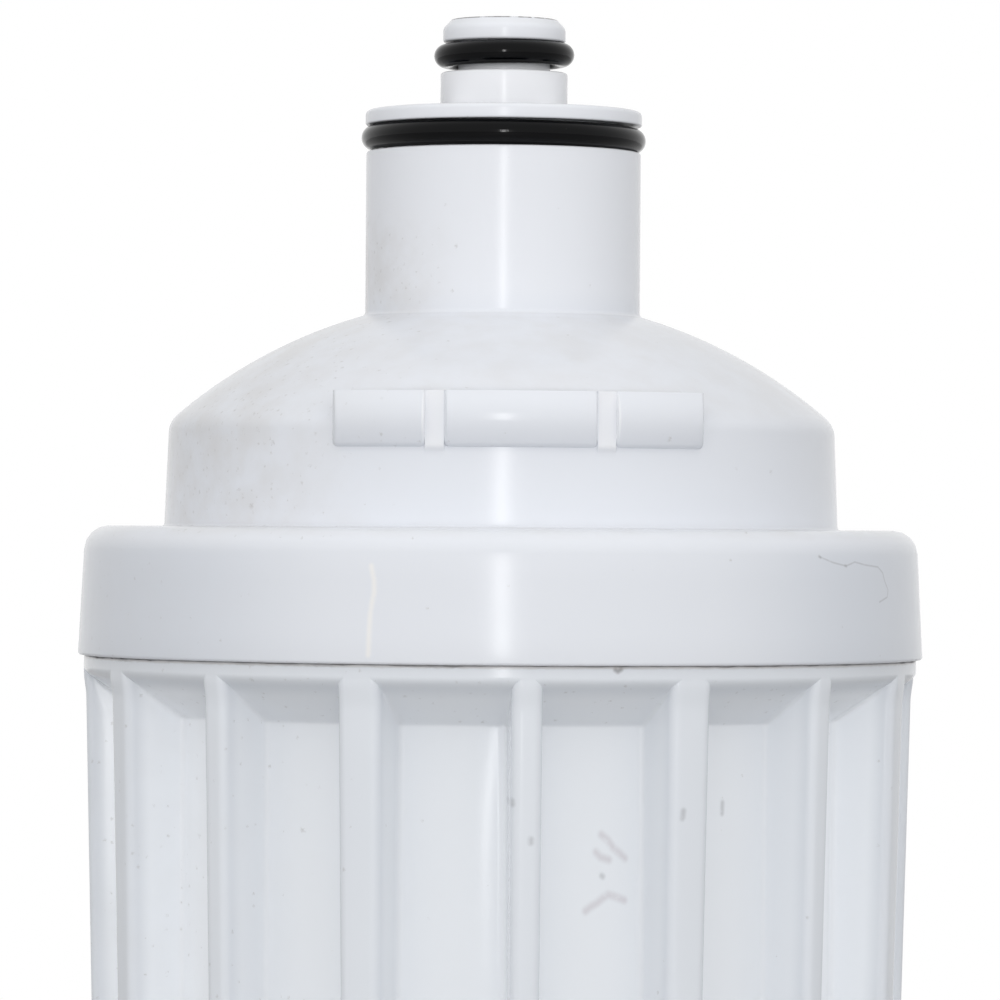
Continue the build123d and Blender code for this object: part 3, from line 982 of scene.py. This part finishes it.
def build_floor():
    """Plain pale floor, which throws a little less light back up than it shows."""
    turns = np.linspace(0, 2 * pi, 97)[:-1]
    points = [(stage_radius * cos(turn), stage_radius * sin(turn), 0) for turn in turns]
    mesh = bpy.data.meshes.new("floor")
    mesh.from_pydata(points, [], [list(range(len(points)))])
    floor = bpy.data.objects.new("floor", mesh)
    bpy.context.scene.collection.objects.link(floor)
    material, tree, shader, place = new_material("pale_floor")
    mottle = noise(tree, place, 0.3)
    seen = tint(tree, mottle, (0.80, 0.80, 0.80), (0.84, 0.84, 0.84))
    thrown = tint(tree, mottle, (0.44, 0.44, 0.44), (0.48, 0.48, 0.48))
    path = node(tree, "LightPath").outputs
    looked_at = calc(tree, "MAXIMUM", path["Is Camera Ray"], path["Is Glossy Ray"])
    looked_at = calc(tree, "MAXIMUM", looked_at, path["Is Transmission Ray"])
    colour = tint(tree, looked_at, thrown, seen)
    tree.links.new(colour, shader.inputs["Base Color"])
    shader.inputs["Roughness"].default_value = 0.8
    mesh.materials.append(material)


def softbox(name, turn, rise, distance, width, height, radiance):
    """Soft light that faces the collar from this angle round the axis and this angle up."""
    light = bpy.data.lights.new(name, "AREA")
    light.shape = "RECTANGLE"
    light.size = width
    light.size_y = height
    light.energy = radiance * pi * width * height
    lamp = bpy.data.objects.new(name, light)
    bpy.context.scene.collection.objects.link(lamp)
    target = Vector((0, 0, collar_top))
    away = Vector(polar(cos(rise), turn, sin(rise)))
    lamp.location = target + distance * away
    lamp.rotation_euler = (-away).to_track_quat("-Z", "Y").to_euler()


def build_world():
    """Soft light from the front and above, plain white where the camera or a reflection looks."""
    world = bpy.data.worlds.new("white_room")
    bpy.context.scene.world = world
    world.use_nodes = True
    tree = world.node_tree
    tree.nodes.clear()
    path = node(tree, "LightPath")
    seen = calc(tree, "MAXIMUM", path.outputs["Is Camera Ray"], path.outputs["Is Glossy Ray"])
    seen = calc(tree, "MAXIMUM", seen, path.outputs["Is Transmission Ray"])
    toward = polar(cos(dome_light_rise), camera_turn, sin(dome_light_rise))
    facing = dot(tree, node(tree, "TexCoord").outputs["Generated"], toward)
    share = ramp(tree, facing, *dome_light_edge)
    strength = blend(tree, share, dome_light_back, dome_light_front)
    fill = node(tree, "Background", {"Color": (1, 1, 1, 1), "Strength": strength})
    backdrop = node(tree, "Background", {"Color": (1, 1, 1, 1), "Strength": 1.0})
    mixed = node(tree, "MixShader", {0: seen, 1: fill.outputs[0], 2: backdrop.outputs[0]})
    output = node(tree, "OutputWorld", {"Surface": mixed.outputs[0]})
    output.is_active_output = True


def build_camera():
    """Camera at the photograph's height, distance, turn and slight roll."""
    data = bpy.data.cameras.new("camera")
    data.lens = camera_lens
    data.sensor_width = 36.0
    data.clip_start = 0.01
    camera = bpy.data.objects.new("camera", data)
    bpy.context.scene.collection.objects.link(camera)
    camera.location = polar(camera_distance, camera_turn, camera_height)
    right = Vector((cos(camera_turn), sin(camera_turn), 0))
    target = Vector((0, 0, camera_height + aim_rise)) - aim_left * right
    facing = (target - camera.location).to_track_quat("-Z", "Y")
    camera.rotation_mode = "QUATERNION"
    camera.rotation_quaternion = facing @ Quaternion((0, 0, 1), camera_roll)
    bpy.context.scene.camera = camera


stroke_tree = stroke_group()
# Each white takes a front and a side colour, the sump's side one painted light, then a painted shade
# colour
cap_white = white_plastic(
    "white_cap_plastic", ((0.82, 0.838, 0.88), (0.82, 0.838, 0.88)), (0.78, 0.803, 0.85), 0.2,
    (0.18, 0.185, 0.2), cap_marks
)
sump_white = white_plastic(
    "white_sump_plastic", ((0.84, 0.865, 0.90), (0.93, 0.955, 0.99)), (0.76, 0.79, 0.835), 0.15,
    (0.15, 0.15, 0.15), sump_marks
)
rubber = black_rubber("black_seal_rubber")
finish_piece(build_sump(), "sump", sump_white)
finish_piece(build_cap(), "cap", cap_white)
neck_ring = build_ring("neck_seal_ring", "neck_o_ring", *neck_ring_lie)
finish_piece(neck_ring, "neck_o_ring", rubber)
spigot_ring = build_ring("spigot_seal_ring", "spigot_o_ring", *spigot_ring_lie)
finish_piece(spigot_ring, "spigot_o_ring", rubber)
end_cap = satin_plastic("end_cap_moulding", (0.74, 0.74, 0.71), (0.80, 0.80, 0.78))
dress("top_end_cap", end_cap)
dress("bottom_end_cap", end_cap)
dress("nipple_o_ring", rubber)
dress("carbon_block", pressed_carbon("carbon_grains"))
dress("prefilter_wrap", felt("spun_fleece"))
dress("net_sleeve", satin_plastic("net_strands", (0.76, 0.77, 0.78), (0.84, 0.84, 0.85)))
build_floor()
build_world()
build_camera()
softbox("key", key_turn, key_rise, key_distance, *key_size, key_radiance)
bpy.context.scene.view_settings.view_transform = "Standard"
